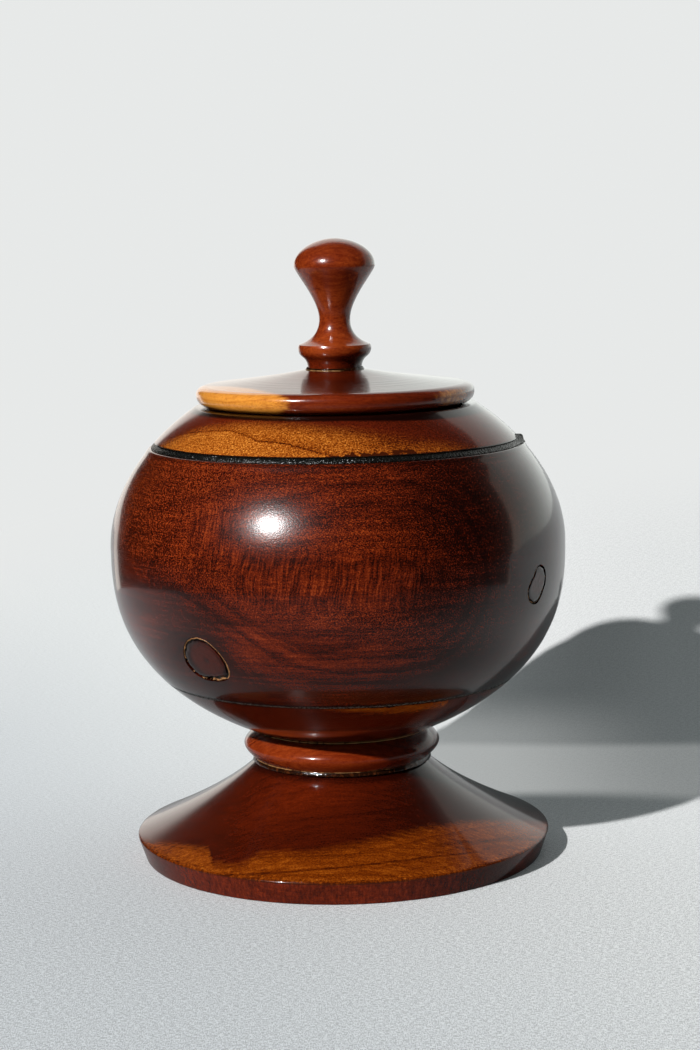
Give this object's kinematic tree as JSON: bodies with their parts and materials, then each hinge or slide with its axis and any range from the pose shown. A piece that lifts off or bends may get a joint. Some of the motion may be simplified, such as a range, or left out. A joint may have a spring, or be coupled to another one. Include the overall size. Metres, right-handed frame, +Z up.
{
  "type": "lidded wooden box",
  "caption": "Turned round wooden box on a flared foot with a beaded collar, black joint lines, and a low domed lid with a spindle knob that lifts off.",
  "frame": {"origin": "centre of the foot's standing ring, on the surface that it stands on", "axes": "+Z up along the turning axis; -Y is the side that the picture is taken from, +X is to its right"},
  "size_m": [0.1324, 0.1324, 0.18],
  "materials": {
    "foot_wood": "gloss varnish over red-brown heartwood with an orange sapwood band",
    "collar_wood": "gloss varnish over red-brown heartwood",
    "base_wood": "gloss varnish over dark heartwood with an orange streak",
    "belly_wood": "gloss varnish over deep mahogany-red heartwood",
    "shoulder_wood": "gloss varnish, orange sapwood below and dark heartwood above",
    "lid_wood": "gloss varnish over red-brown heartwood with orange sapwood on one edge",
    "knob_wood": "high gloss varnish over red-brown heartwood",
    "knot_wood": "gloss varnish over dark branch wood",
    "bark": "rough golden-brown bark",
    "joint_filler": "glossy black filler",
    "glue": "clear amber glue"
  },
  "bodies": {
    "box": {"foot": "foot_wood", "collar": "collar_wood", "collar_glue_lower": "glue", "collar_glue_upper": "glue", "bowl_base": "base_wood", "lower_joint_ring": "joint_filler", "belly": "belly_wood", "knot_left": "knot_wood", "knot_left_bark": "bark", "knot_right": "knot_wood", "knot_right_bark": "bark", "upper_joint_ring": "joint_filler", "shoulder_ring": "shoulder_wood"},
    "lid": {"lid": "lid_wood", "knob": "knob_wood", "knob_glue_bead": "glue"}
  },
  "joints": [
    {"name": "lid_lift", "type": "slide", "parent": "box", "child": "lid", "axis": [0, 0, 1], "range_m": [0, 0.06]}
  ]
}
